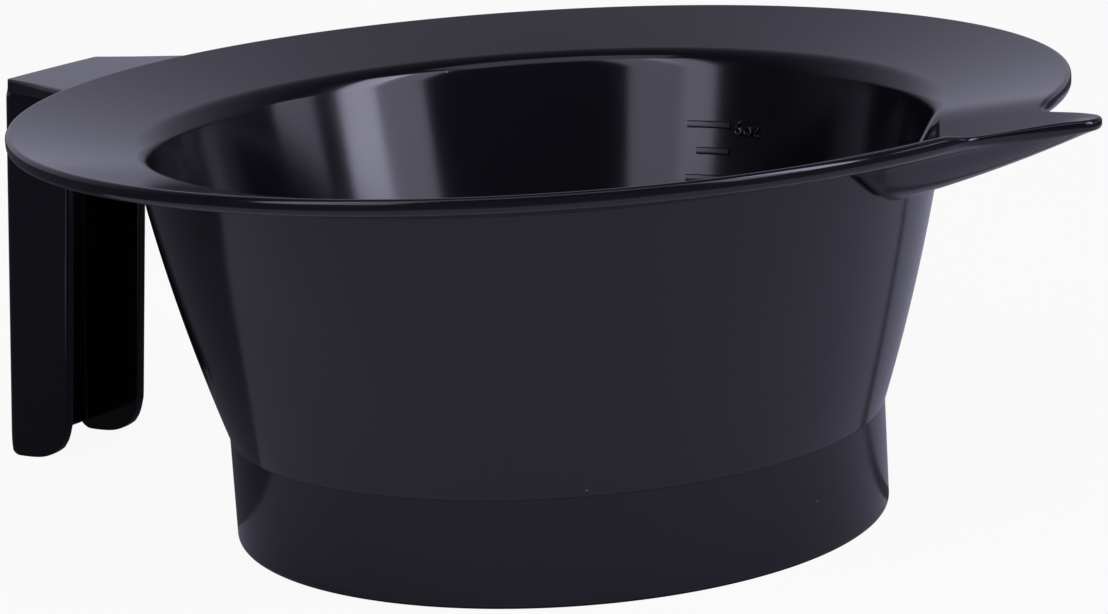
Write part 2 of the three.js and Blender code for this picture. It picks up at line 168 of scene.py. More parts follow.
class HAIRBOWL_PG_scale(bpy.types.PropertyGroup):
    """The ounce scale inside the cup."""
    end_angle: angle("End angle", "Where every mark ends, about +Z from +X", 91.7)
    long_mark: angle("Long mark", "Angular length of the even marks", 7.9)
    short_mark: angle("Short mark", "Angular length of the odd marks", 6.1)
    mark_height: length("Mark height", "Height of a mark", 1.05)
    relief: length("Relief", "How far marks and numerals stand proud of the wall", 0.42)
    text_height: length("Numeral height", "Height of a numeral", 2.1)
    text_gap: length("Numeral gap", "Gap between a mark and its numeral", 0.7)
    text_drop: length("Numeral drop", "How far a numeral sits below its mark's middle", 0.3)
    unit: StringProperty(name="Unit", description="Letters after each numeral", default="oz")


class HAIRBOWL_PG_finish(bpy.types.PropertyGroup):
    """Colours of the plastic and of the studio."""
    plastic: colour("Plastic", "Body colour of the plastic", "101014")
    worn: colour("Worn plastic", "Body colour where the gloss is rubbed", "16161b")
    dust: colour("Dust", "Colour of the dust on it", "6f7076")
    ground: colour("Ground", "Colour of the floor", "fdfdfd")
    lamp: FloatProperty(name="Lamp", description="Strength of the softboxes", default=1.0, min=0.0)


# ---- Small tools ----

def settings(group):
    """The values of a property group by name, with lengths in millimetres and angles in radians."""
    values = {}
    for name, prop in group.bl_rna.properties.items():
        if prop.type == "FLOAT" and not prop.is_array:
            scale = 1 / MM if prop.unit == "LENGTH" else 1.0
            values[name] = getattr(group, name) * scale
    return values


def soft_min(a, b, width):
    """The smaller of two values, rounded over a difference of `width`."""
    near = max(width - abs(a - b), 0.0)
    return min(a, b) - near ** 3 / (6 * width ** 2)


def soft_max(a, b, width):
    return -soft_min(-a, -b, width)


def clamp(value, low=0.0, high=1.0):
    return max(low, min(high, value))


def mix(a, b, share):
    return a + (b - a) * share


def lines_meet(start, along, end, back):
    """Where the line from `start` along `along` meets the line through `end` along `back`."""
    cross = along[0] * back[1] - along[1] * back[0]
    step = ((end[0] - start[0]) * back[1] - (end[1] - start[1]) * back[0]) / cross
    return (start[0] + along[0] * step, start[1] + along[1] * step)


def bend(start, corner, end, steps):
    """Points of a rounded corner that leaves `start` and reaches `end` along straight tangents."""
    first = (Vector(corner) - Vector(start)).normalized()
    second = (Vector(end) - Vector(corner)).normalized()
    pull = math.cos(math.acos(clamp(first.dot(second), -1, 1)) / 2)
    points = []
    for step in range(steps + 1):
        t = step / steps
        a, b, c = (1 - t) ** 2, 2 * pull * t * (1 - t), t * t
        points.append(tuple((a * start[k] + b * corner[k] + c * end[k]) / (a + b + c)
                            for k in (0, 1)))
    return points


def between(count, low, high, place):
    """`count` points strictly between two values, closer together near both."""
    shares = [(1 - math.cos(math.pi * (i + 1) / (count + 1))) / 2 for i in range(count)]
    return [place(mix(low, high, share)) for share in shares]


def new_piece(name, points, faces):
    """A mesh object from points in millimetres, welded, with its faces pointing outwards."""
    mesh = bpy.data.meshes.new(name)
    mesh.from_pydata([tuple(c * MM for c in p) for p in points], [], faces)
    work = bmesh.new()
    work.from_mesh(mesh)
    bmesh.ops.remove_doubles(work, verts=work.verts, dist=1e-7)
    bmesh.ops.dissolve_degenerate(work, edges=work.edges, dist=1e-8)
    bmesh.ops.recalc_face_normals(work, faces=work.faces)
    if work.calc_volume(signed=True) < 0:
        bmesh.ops.reverse_faces(work, faces=work.faces)
    work.to_mesh(mesh)
    work.free()
    mesh.shade_smooth()
    piece = bpy.data.objects.new(name, mesh)
    bpy.context.scene.collection.objects.link(piece)
    return piece


def finish_piece(piece, material, nodes):
    piece.data.materials.clear()
    piece.data.materials.append(material)
    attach(piece, "root")
    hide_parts(*nodes)


def turned(name, profiles, angles):
    """A closed skin through one profile of (radius, height) points for each angle."""
    count = len(profiles[0])
    points = []
    for profile, turn in zip(profiles, angles):
        cosine, sine = math.cos(turn), math.sin(turn)
        points.extend((r * cosine, r * sine, z) for r, z in profile)
    faces = []
    rings = len(profiles)
    for ring in range(rings):
        here, there = ring * count, (ring + 1) % rings * count
        for step in range(count - 1):
            faces.append((here + step, there + step, there + step + 1, here + step + 1))
        if profiles[ring][0][0] > 0:
            faces.append((here + count - 1, there + count - 1, there, here))
    return new_piece(name, points, faces)


# ---- The cup's shape ----

class CupShape:
    """Every radius and height of the cup, the rim and the spout, in millimetres."""

    def __init__(self, sizes):
        self.__dict__.update(sizes)
        self.lip_radius = self.wall_radius - self.wall
        self.rim_slope = (self.rim_height - self.lip_height) / (self.rim_radius - self.lip_radius)
        self.rim_upright = self.rim_wall * math.hypot(1, self.rim_slope)

    def outside(self, z):
        share = (z - self.foot_height) / (self.lip_height - self.foot_height)
        straight = mix(self.foot_radius, self.wall_radius, share)
        return straight + 4 * self.wall_bow * share * (1 - share)

    def inside(self, z):
        return self.outside(z) - self.wall

    def reach(self, turn):
        """How far out the rim and the spout go in one direction."""
        half = self.spout_angle
        if math.cos(turn) < POINT_SIDE:
            return self.rim_radius
        centre = self.spout_reach - self.spout_tip
        point = centre + self.spout_tip / math.sin(half)
        sine = abs(math.sin(turn))
        tip_turn = math.atan2(self.spout_tip * math.cos(half),
                              centre + self.spout_tip * math.sin(half))
        if abs(turn) < tip_turn:
            across = self.spout_tip ** 2 - (centre * sine) ** 2
            spout = centre * math.cos(turn) + math.sqrt(max(across, 0.0))
        else:
            spout = point / (math.cos(turn) + sine / math.tan(half))
        return soft_max(self.rim_radius, spout, self.spout_root)

    def spread(self, turn):
        """How much a width across the outline stretches when it is measured along the radius."""
        step = 1e-3
        change = (self.reach(turn + step) - self.reach(turn - step)) / (2 * step)
        return math.hypot(1, change / self.reach(turn))

    def flat(self, r):
        """The rim's upper face, without the trough."""
        past = clamp((r - self.rim_radius) / (self.spout_reach - self.rim_radius))
        rise = (min(r, self.rim_radius) - self.lip_radius) * self.rim_slope
        return self.lip_height + rise + past * self.spout_rise

    def keel(self, r, turn, height, side_slope, softness):
        x, y = r * math.cos(turn), r * math.sin(turn)
        side = math.hypot(y, softness) - softness
        out = x - self.wall_radius
        rise = self.keel_slope * out + self.keel_sweep * out * (out - 0.7 * KEEL_RUN)
        return self.keel_height + height + rise + side_slope * side

    def over(self, r, turn):
        """Upper face of the rim or the spout."""
        flat = self.flat(r)
        if math.cos(turn) < TROUGH_SIDE:
            return flat
        trough = self.keel(r, turn, self.trough_floor, self.trough_slope, self.trough_round)
        return soft_min(flat, trough, self.trough_shoulder)

    def under(self, r, turn):
        """Lower face of the rim or the spout."""
        thinned = clamp((r - self.rim_radius) / self.spout_thinning)
        thinned = thinned * thinned * (3 - 2 * thinned)
        flat = self.flat(r) - mix(self.rim_upright, self.spout_lip, thinned)
        if math.cos(turn) < TROUGH_SIDE:
            return flat
        keel = self.keel(r, turn, 0.0, self.keel_sides, self.keel_round)
        return soft_min(flat, keel, 1.5 * self.armpit)

    def corner(self, wall, face, turn, radius, up):
        """Rounded corner between a wall and a face: start on the wall, tangents' meeting, end."""
        z = self.lip_height
        for _ in range(40):
            z = face(wall(z), turn)
        step = SLOPE_STEP
        r = wall(z)
        rise = (face(r + step, turn) - face(r - step, turn)) / (2 * step)
        along = Vector((wall(z + step) - wall(z - step), 2 * step)).normalized() * up
        away = Vector((1, rise)).normalized()
        half = math.acos(clamp((-along).dot(away), -1, 1)) / 2
        back = radius / math.tan(half)
        start_z = z - along.y * back
        start = (wall(start_z), start_z)
        end_r = r + away.x * back
        end = (end_r, face(end_r, turn))
        tangent = (wall(start_z + step) - wall(start_z - step), 2 * step)
        leaving = (2 * step, face(end_r + step, turn) - face(end_r - step, turn))
        return start, lines_meet(start, tangent, end, leaving), end


def cup_profile(shape, turn):
    """From the middle of the floor, over the lip and the rim, and back under to the middle."""
    cove = shape.floor_cove
    floor = shape.floor_top
    cove_end = (shape.inside(floor + cove), floor + cove)
    cove_corner = (shape.inside(floor), floor)
    cove_start = (shape.inside(floor) - cove, floor)
    points = [(0.0, floor)]
    points += between(8, 0.0, cove_start[0], lambda r: (r, floor))
    points += bend(cove_start, cove_corner, cove_end, 8)
    start, corner, end = shape.corner(shape.inside, shape.over, turn, shape.lip_round, 1)
    points += between(20, cove_end[1], start[1], lambda z: (shape.inside(z), z))
    points += bend(start, corner, end, 12)
    reach, spread = shape.reach(turn), shape.spread(turn)
    top, low = shape.over(reach, turn), shape.under(reach, turn)
    past = clamp((reach - shape.rim_radius) / (shape.spout_reach - shape.rim_radius))
    edge = min(shape.rim_edge, mix(0.47, 0.36, past) * (top - low))
    inner = reach - edge * spread
    points += between(26, end[0], inner, lambda r: (r, shape.over(r, turn)))
    points += bend((inner, shape.over(inner, turn)), (reach, top), (reach, top - edge), 6)
    points += bend((reach, low + edge), (reach, low), (inner, shape.under(inner, turn)), 6)
    start, corner, end = shape.corner(shape.outside, shape.under, turn, shape.armpit, -1)
    points += between(20, inner, end[0], lambda r: (r, shape.under(r, turn)))
    points += bend(end, corner, start, 7)
    points += between(20, start[1], shape.foot_height, lambda z: (shape.outside(z), z))
    base = shape.foot_height
    below = floor - shape.floor_wall
    step_in = shape.foot_radius - shape.foot_wall - 0.6
    cove = 0.8
    points += [(shape.outside(base), base), (step_in, base), (step_in, base + 0.3)]
    points += bend((step_in, below - cove), (step_in, below), (step_in - cove, below), 3)
    # the gate mark: a shallow ring with the stub of the runner in its middle
    ring, stub, deep = 3.4, 0.9, 0.3
    points += between(6, step_in - cove, ring, lambda r: (r, below))
    points += [(ring, below), (ring - 0.2, below + deep), (stub + 0.2, below + deep),
               (stub, below - 0.25), (0.0, below - deep)]
    return points


def foot_profile(shape):
    """The hollow foot as a ring, from its inner top down, under and up the outside."""
    outer, inner = shape.foot_radius, shape.foot_radius - shape.foot_wall
    crease = shape.foot_height
    top = crease + 0.05
    edge = 0.7
    neck = inner - 0.5
    points = [(neck, top), (neck, crease - 0.5)]
    points += bend((neck, crease - 0.9), (neck, crease - 1.4), (inner, crease - 1.9), 3)
    points += between(8, crease - 2.0, edge, lambda z: (inner, z))
    points += bend((inner, edge), (inner, 0.0), (inner + edge, 0.0), 5)
    points += bend((outer - edge, 0.0), (outer, 0.0), (outer, edge), 6)
    points += between(12, edge, crease, lambda z: (outer, z))
    points += [(outer, crease), (outer, top)]
    return points


def around(fine, coarse, reach):
    """Angles about the axis, closer together within `reach` degrees of the spout."""
    near = [math.radians(reach * (2 * i / fine - 1)) for i in range(fine)]
    rest = 360 - 2 * reach
    far = [math.radians(reach + rest * i / coarse) for i in range(coarse)]
    return near + far


# ---- The grip's shape ----

def lattice_skin(columns, rows, layers, filled, place):
    """The outer faces of the filled cells of a lattice, with each corner moved by `place`."""
    counts = (len(columns) - 1, len(rows) - 1, len(layers) - 1)
    solid = {(i, j, k) for i in range(counts[0]) for j in range(counts[1]) for k in range(counts[2])
             if filled(i, j, k)}
    index = {}
    points = []

    def corner(i, j, k):
        if (i, j, k) not in index:
            index[(i, j, k)] = len(points)
            points.append(place(i, j, k))
        return index[(i, j, k)]

    sides = {
        (-1, 0, 0): ((0, 0, 0), (0, 0, 1), (0, 1, 1), (0, 1, 0)),
        (1, 0, 0): ((1, 0, 0), (1, 1, 0), (1, 1, 1), (1, 0, 1)),
        (0, -1, 0): ((0, 0, 0), (1, 0, 0), (1, 0, 1), (0, 0, 1)),
        (0, 1, 0): ((0, 1, 0), (0, 1, 1), (1, 1, 1), (1, 1, 0)),
        (0, 0, -1): ((0, 0, 0), (0, 1, 0), (1, 1, 0), (1, 0, 0)),
        (0, 0, 1): ((0, 0, 1), (1, 0, 1), (1, 1, 1), (0, 1, 1)),
    }
    faces = []
    for i, j, k in sorted(solid):
        for (di, dj, dk), ring in sides.items():
            if (i + di, j + dj, k + dk) not in solid:
                faces.append([corner(i + a, j + b, k + c) for a, b, c in ring])
    return points, faces


def round_off(a, b):
    """Moves a point of the unit square so that the square's far corner becomes a quarter circle."""
    if a <= 0 or b <= 0:
        return a, b
    far = max(a, b)
    turn = math.pi / 4 * min(a, b) / far
    if b > a:
        turn = math.pi / 2 - turn
    return far * math.cos(turn), far * math.sin(turn)


def grip_skin(s):
    """Arm, web and flanges as one moulded skin, before it is smoothed."""
    gs = SimpleNamespace(**s)
    rim_arc, root_arc, root_reach = 70.5, 67.2, 30.0
    crown_radius, crown_run = 87.0, 3.0
    arm_low = gs.arm_top - gs.arm_wall
    inner = gs.half - gs.flange
    soft = 0.5
    depth = gs.depth
    columns = [0.0, 0.5 * gs.web, gs.web, gs.web + soft, 2.8 + soft, 5.5, 9.0, depth - 0.6, depth,
               depth + 0.6, depth + 2.5, depth + 5.0, depth + 8.0]
    last_grip = columns.index(depth)
    half_rows = [0.0, 0.5 * inner, inner - soft, inner, inner + 0.55, gs.half - 0.55, gs.half]
    overhang = [0.35, 0.75, 1.0]
    row_count = len(half_rows) + len(overhang)
    rows = list(range(-(row_count - 1), row_count))
    layers = [gs.bottom, gs.bottom + 0.35, gs.web_bottom, gs.web_bottom + 0.4,
              gs.bottom + gs.lobe_out, 5.6, gs.bottom + gs.lobe_in, 20.0, 35.0, 48.0,
              arm_low - 2.0, arm_low - 0.5, arm_low, arm_low + 0.35, gs.arm_top - 0.9, gs.arm_top]
    web_layer = layers.index(gs.web_bottom)
    arm_layer = layers.index(arm_low)
    flange_row = half_rows.index(inner)
    grip_row = half_rows.index(gs.half)
    root_run = gs.arm_end - math.sqrt(rim_arc ** 2 - gs.root_half ** 2)
    swell = (gs.root_half - gs.end_half - root_run * math.tan(gs.flare)) / root_run ** 2

    def arm_half(run):
        run = clamp(run, 0.0, root_run + 2.0)
        return gs.end_half + run * math.tan(gs.flare) + swell * run * run

    def filled(i, j, k):
        low_row, high_row = abs(rows[j]), abs(rows[j + 1])
        near, far = min(low_row, high_row), max(low_row, high_row)
        if k >= arm_layer:
            return True
        if far > grip_row or i >= last_grip:
            return False
        flange = near >= flange_row
        web = columns[i + 1] <= gs.web and k >= web_layer
        return flange or web

    def place(i, j, k):
        u, z = columns[i], layers[k]
        row = abs(rows[j])
        side = 1 if rows[j] > 0 else -1
        in_arm = k >= arm_layer
        if row < len(half_rows):
            y = half_rows[row]
        else:
            y = mix(gs.half, arm_half(u), overhang[row - len(half_rows)])
        # the lower ends of the flanges
        if row >= flange_row and k < arm_layer:
            a, b = round_off((gs.lobe_out - u) / gs.lobe_out,
                             (gs.bottom + gs.lobe_out - z) / gs.lobe_out)
            if a > 0 and b > 0:
                u, z = gs.lobe_out * (1 - a), gs.bottom + gs.lobe_out * (1 - b)
            start = depth - gs.lobe_in
            a, b = round_off((u - start) / gs.lobe_in,
                             (gs.bottom + gs.lobe_in - z) / gs.lobe_in)
            if a > 0 and b > 0:
                u, z = start + gs.lobe_in * a, gs.bottom + gs.lobe_in * (1 - b)
        # the outer corners, seen from above
        outer = arm_half(u) if in_arm else gs.half
        radius = gs.arm_corner if in_arm else gs.corner
        a, b = round_off((radius - u) / radius, (y - (outer - radius)) / radius)
        if a > 0 and b > 0:
            u, y = radius * (1 - a), outer - radius * (1 - b)
        # the shoulder over the web
        if in_arm:
            r = gs.arm_shoulder
            a, b = round_off((r - u) / r, (z - (gs.arm_top - r)) / r)
            if a > 0 and b > 0:
                u, z = r * (1 - a), gs.arm_top - r * (1 - b)
        soft_start = gs.web + soft
        if not in_arm and u > soft_start:
            full = depth - (arm_low - z) * gs.taper
            u = soft_start + (u - soft_start) * (full - soft_start) / (depth - soft_start)
        face = gs.arm_end + (gs.arm_top - z) * math.tan(gs.lean)
        x = -(face - u)
        x += clamp(1 - u / crown_run) * y * y / (2 * crown_radius)
        if i > last_grip:
            root = -math.sqrt(root_arc ** 2 - min(y, root_reach) ** 2)
            share = (columns[i] - depth) / (columns[-1] - depth)
            x = mix(-(face - depth), root, share)
            if k == arm_layer:
                z += 0.2 * share
        return (x, side * y, z)

    return lattice_skin(columns, rows, layers, filled, place)


# ---- Materials ----

def add_node(tree, kind, values=None, links=None, **attributes):
    """Adds a node, sets its attributes and socket values, and links sockets to other nodes' outputs."""
    node = tree.nodes.new(kind)
    for name, value in attributes.items():
        setattr(node, name, value)
    for socket, value in (values or {}).items():
        node.inputs[socket].default_value = value
    for socket, source in (links or {}).items():
        tree.links.new(source, node.inputs[socket])
    return node


def empty_material(name):
    """A material without nodes, and its node tree."""
    material = bpy.data.materials.new(name)
    material.use_nodes = True
    material.node_tree.nodes.clear()
    return material, material.node_tree


def plastic_material(name, finish, roughness, sheen_level=0.5):
    """Black polypropylene, injection moulded in a polished tool. It reads as a deep, slightly blue
    black that mirrors its surroundings softly, with a little dust and a few hairline rubs."""
    material, tree = empty_material(name)
    place = add_node(tree, "ShaderNodeTexCoord").outputs["Object"]
    # slow change of gloss over 25 mm, as cooling leaves it
    cloud = add_node(tree, "ShaderNodeTexNoise", {"Scale": 1 / 0.025, "Detail": 2.0},
                     {"Vector": place})
    gloss = add_node(tree, "ShaderNodeMapRange",
                     {"From Min": 0.3, "From Max": 0.7, "To Min": roughness * 0.85,
                      "To Max": roughness * 1.2}, {"Value": cloud.outputs["Fac"]})
    # dust grains 0.25 mm across, on about one cell of 4 mm in ten
    cells = add_node(tree, "ShaderNodeTexVoronoi", {"Scale": 1 / 0.004, "Randomness": 1.0},
                     {"Vector": place})
    near = add_node(tree, "ShaderNodeMath", {1: 0.035}, {0: cells.outputs["Distance"]},
                    operation="LESS_THAN")
    chance = add_node(tree, "ShaderNodeSeparateColor", None, {"Color": cells.outputs["Color"]})
    chosen = add_node(tree, "ShaderNodeMath", {1: 0.1}, {0: chance.outputs["Red"]},
                      operation="LESS_THAN")
    dust = add_node(tree, "ShaderNodeMath", None, {0: near.outputs[0], 1: chosen.outputs[0]},
                    operation="MULTIPLY")
    # rubbed patches, 60 mm long, where a hand wipes the bowl
    rub = add_node(tree, "ShaderNodeTexNoise", {"Scale": 1 / 0.06, "Detail": 4.0, "Roughness": 0.7},
                   {"Vector": place})
    rubbed = add_node(tree, "ShaderNodeMapRange",
                      {"From Min": 0.55, "From Max": 0.75, "To Min": 0.0, "To Max": 0.6},
                      {"Value": rub.outputs["Fac"]})
    body = add_node(tree, "ShaderNodeMix", {"A": finish.plastic[:], "B": finish.worn[:]},
                    {"Factor": rubbed.outputs[0]}, data_type="RGBA")
    dusty = add_node(tree, "ShaderNodeMix", {"B": finish.dust[:]},
                     {"A": body.outputs["Result"], "Factor": dust.outputs[0]}, data_type="RGBA")
    # hairline rubs about 0.6 mm apart and a slow waviness of the moulding, 18 mm long
    hair = add_node(tree, "ShaderNodeTexNoise", {"Scale": 1 / 0.0006, "Detail": 1.0},
                    {"Vector": place})
    wave = add_node(tree, "ShaderNodeTexNoise", {"Scale": 1 / 0.018, "Detail": 1.0},
                    {"Vector": place})
    fine = add_node(tree, "ShaderNodeBump", {"Strength": 0.04, "Distance": 0.00002},
                    {"Height": hair.outputs["Fac"]})
    relief = add_node(tree, "ShaderNodeBump", {"Strength": 0.3, "Distance": 0.00006},
                      {"Height": wave.outputs["Fac"], "Normal": fine.outputs["Normal"]})
    shader = add_node(tree, "ShaderNodeBsdfPrincipled",
                      {"IOR": 1.49, "Metallic": 0.0, "Specular IOR Level": sheen_level},
                      {"Base Color": dusty.outputs["Result"], "Roughness": gloss.outputs[0],
                       "Normal": relief.outputs["Normal"]})
    output = add_node(tree, "ShaderNodeOutputMaterial")
    tree.links.new(shader.outputs[0], output.inputs["Surface"])
    return material


def moulded_plastic():
    """Made once and shared by every piece of the moulding."""
    finish = bpy.context.scene.hairbowl_finish
    name = "moulded_black_polypropylene"
    return bpy.data.materials.get(name) or plastic_material(name, finish, 0.13)


def foot_plastic():
    """The foot is a little rougher than the cup, as from a less polished part of the tool, and its
    reflection is turned down as painted shade for the shadowed floor beside the foot.
    """
    finish = bpy.context.scene.hairbowl_finish
    name = "shaded_foot_black_polypropylene"
    # specular level 0.38 instead of 0.5 is painted shade: it darkens the foot's reflection
    return bpy.data.materials.get(name) or plastic_material(name, finish, 0.16, 0.38)


def relief_plastic():
    """Raised lines and numerals, a little duller than the wall, which sets them off from it."""
    finish = bpy.context.scene.hairbowl_finish
    name = "raised_black_polypropylene"
    return bpy.data.materials.get(name) or plastic_material(name, finish, 0.2)


# ---- Operators ----

class HAIRBOWL_OT_cup(bpy.types.Operator):
    """Mould the cup with its rim and spout"""
    bl_idname = "hairbowl.cup"
    bl_label = "Cup, rim and spout"

    def execute(self, context):
        shape = CupShape(settings(context.scene.hairbowl_cup))
        angles = around(176, 200, 22.0)
        profiles = [cup_profile(shape, (turn + math.pi) % (2 * math.pi) - math.pi) for turn in angles]
        piece = turned("cup_rim_spout", profiles, angles)
        finish_piece(piece, moulded_plastic(),
                     ["cup_wall", "cup_floor", "rim_flange", "pour_spout"])
        return {"FINISHED"}


class HAIRBOWL_OT_foot(bpy.types.Operator):
    """Mould the hollow foot"""
    bl_idname = "hairbowl.foot"
    bl_label = "Foot"

    def execute(self, context):
        shape = CupShape(settings(context.scene.hairbowl_cup))
        angles = around(10, 230, 10.0)
        piece = turned("foot_skirt", [foot_profile(shape) for _ in angles], angles)
        finish_piece(piece, foot_plastic(), ["foot_ring"])
        return {"FINISHED"}


class HAIRBOWL_OT_grip(bpy.types.Operator):
    """Mould the arm and the channel-shaped grip"""
    bl_idname = "hairbowl.grip"
    bl_label = "Arm and grip"

    def execute(self, context):
        points, faces = grip_skin(settings(context.scene.hairbowl_grip))
        piece = new_piece("arm_and_grip", points, faces)
        smooth = piece.modifiers.new("Smooth", "SUBSURF")
        smooth.levels = smooth.render_levels = 3
        finish_piece(piece, moulded_plastic(),
                     ["handle_arm", "grip_web", "grip_flange_left", "grip_flange_right"])
        return {"FINISHED"}


def mark_heights():
    """Middle height of each mark, in millimetres, from the lowest up."""
    names = [f"scale_mark_{count}oz" for count in range(1, 7)]
    return [(cad(name)[0].z + cad(name)[1].z) / 2 for name in names]


def scale_tree(material):
    """Geometry nodes: each point, at (wall radius, 0, height), becomes a bar bent along the wall."""
    tree = bpy.data.node_groups.new("Scale bars", "GeometryNodeTree")
    face = tree.interface
    face.new_socket("Points", in_out="INPUT", socket_type="NodeSocketGeometry")
    for name in ("End angle", "Long mark", "Short mark", "Mark height", "Relief", "Wall lean"):
        face.new_socket(name, in_out="INPUT", socket_type="NodeSocketFloat")
    face.new_socket("Bars", in_out="OUTPUT", socket_type="NodeSocketGeometry")
    source = add_node(tree, "NodeGroupInput").outputs
    spot = add_node(tree, "GeometryNodeInputPosition")
    parts = add_node(tree, "ShaderNodeSeparateXYZ", None, {"Vector": spot.outputs[0]})
    kept = add_node(tree, "GeometryNodeStoreNamedAttribute", {"Name": "wall_radius"},
                    {"Geometry": source["Points"], "Value": parts.outputs["X"]},
                    data_type="FLOAT", domain="POINT")
    axis = add_node(tree, "ShaderNodeCombineXYZ", None, {"Z": parts.outputs["Z"]})
    moved = add_node(tree, "GeometryNodeSetPosition", None,
                     {"Geometry": kept.outputs[0], "Position": axis.outputs[0]})
    radius = add_node(tree, "GeometryNodeInputNamedAttribute", {"Name": "wall_radius"},
                      data_type="FLOAT")
    size = add_node(tree, "ShaderNodeCombineXYZ", {"Z": 1.0},
                    {"X": radius.outputs["Attribute"], "Y": radius.outputs["Attribute"]})
    index = add_node(tree, "GeometryNodeInputIndex")
    odd = add_node(tree, "ShaderNodeMath", {1: 2.0}, {0: index.outputs[0]}, operation="MODULO")
    is_long = add_node(tree, "FunctionNodeCompare", {"B": 0.5}, {"A": odd.outputs[0]},
                       data_type="FLOAT", operation="GREATER_THAN")
    is_short = add_node(tree, "FunctionNodeBooleanMath", None, {0: is_long.outputs[0]},
                        operation="NOT")
    bars = add_node(tree, "GeometryNodeJoinGeometry")
    for chosen, sweep in ((is_long, "Long mark"), (is_short, "Short mark")):
        arc = add_node(tree, "GeometryNodeCurveArc", {"Resolution": 24, "Radius": 1.0},
                       {"Start Angle": source["End angle"], "Sweep Angle": source[sweep]})
        copies = add_node(tree, "GeometryNodeInstanceOnPoints", None,
                          {"Points": moved.outputs[0], "Selection": chosen.outputs[0],
                           "Instance": arc.outputs[0], "Scale": size.outputs[0]})
        tree.links.new(copies.outputs[0], bars.inputs[0])
    real = add_node(tree, "GeometryNodeRealizeInstances", None, {"Geometry": bars.outputs[0]})
    box = add_node(tree, "GeometryNodeCurvePrimitiveQuadrilateral", None,
                   {"Width": source["Relief"], "Height": source["Mark height"]})
    corner = add_node(tree, "ShaderNodeMath", {1: 0.45}, {0: source["Relief"]}, operation="MULTIPLY")
    soft = add_node(tree, "GeometryNodeFilletCurve", {"Count": 4},
                    {"Curve": box.outputs[0], "Radius": corner.outputs[0]}, mode="POLY")
    tilt = add_node(tree, "ShaderNodeCombineXYZ", None, {"Z": source["Wall lean"]})
    leant = add_node(tree, "GeometryNodeTransform", None,
                     {"Geometry": soft.outputs[0], "Rotation": tilt.outputs[0]})
    swept = add_node(tree, "GeometryNodeCurveToMesh", {"Fill Caps": True},
                     {"Curve": real.outputs[0], "Profile Curve": leant.outputs[0]})
    whole = add_node(tree, "GeometryNodeRealizeInstances", None, {"Geometry": swept.outputs[0]})
    dressed = add_node(tree, "GeometryNodeSetMaterial", {"Material": material},
                       {"Geometry": whole.outputs[0]})
    result = add_node(tree, "NodeGroupOutput")
    tree.links.new(dressed.outputs[0], result.inputs[0])
    return tree


def plain_copy(piece, name):
    """The evaluated object as a plain mesh, with the source object removed."""
    graph = bpy.context.evaluated_depsgraph_get()
    mesh = bpy.data.meshes.new_from_object(piece.evaluated_get(graph), depsgraph=graph)
    mesh.name = name
    bpy.data.objects.remove(piece)
    made = bpy.data.objects.new(name, mesh)
    bpy.context.scene.collection.objects.link(made)
    return made


def outward(mesh):
    """Turns every face of closed bodies outwards and rounds the shading up to 40 degrees."""
    work = bmesh.new()
    work.from_mesh(mesh)
    bmesh.ops.remove_doubles(work, verts=work.verts, dist=1e-7)
    bmesh.ops.recalc_face_normals(work, faces=work.faces)
    work.to_mesh(mesh)
    work.free()
    mesh.shade_smooth()
    mesh.set_sharp_from_angle(angle=math.radians(40))


class HAIRBOWL_OT_marks(bpy.types.Operator):
    """Mould the raised marks of the ounce scale"""
    bl_idname = "hairbowl.marks"
    bl_label = "Scale marks"

    def execute(self, context):
        shape = CupShape(settings(context.scene.hairbowl_cup))
        s = settings(context.scene.hairbowl_scale)
        heights = mark_heights()
        spots = [((shape.inside(z) + SUNK - s["relief"] / 2) * MM, 0.0, z * MM) for z in heights]
        mesh = bpy.data.meshes.new("mark_spots")
        mesh.from_pydata(spots, [], [])
        spots_object = bpy.data.objects.new("mark_spots", mesh)
        context.scene.collection.objects.link(spots_object)
        tree = scale_tree(relief_plastic())
        nodes = spots_object.modifiers.new("Scale bars", "NODES")
        lean = math.atan2(shape.inside(heights[-1]) - shape.inside(heights[0]),
                          heights[-1] - heights[0])
        values = {"End angle": s["end_angle"], "Long mark": s["long_mark"],
                  "Short mark": s["short_mark"], "Mark height": s["mark_height"] * MM,
                  "Relief": s["relief"] * MM, "Wall lean": lean}
        nodes.node_group = tree
        for item in tree.interface.items_tree:
            if item.item_type == "SOCKET" and item.name in values:
                nodes[item.identifier] = values[item.name]
        piece = plain_copy(spots_object, "scale_marks")
        outward(piece.data)
        if not piece.data.polygons:
            raise RuntimeError("the scale marks came out empty")
        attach(piece, "root")
        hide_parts(*[f"scale_mark_{count}oz" for count in range(1, 7)])
        return {"FINISHED"}


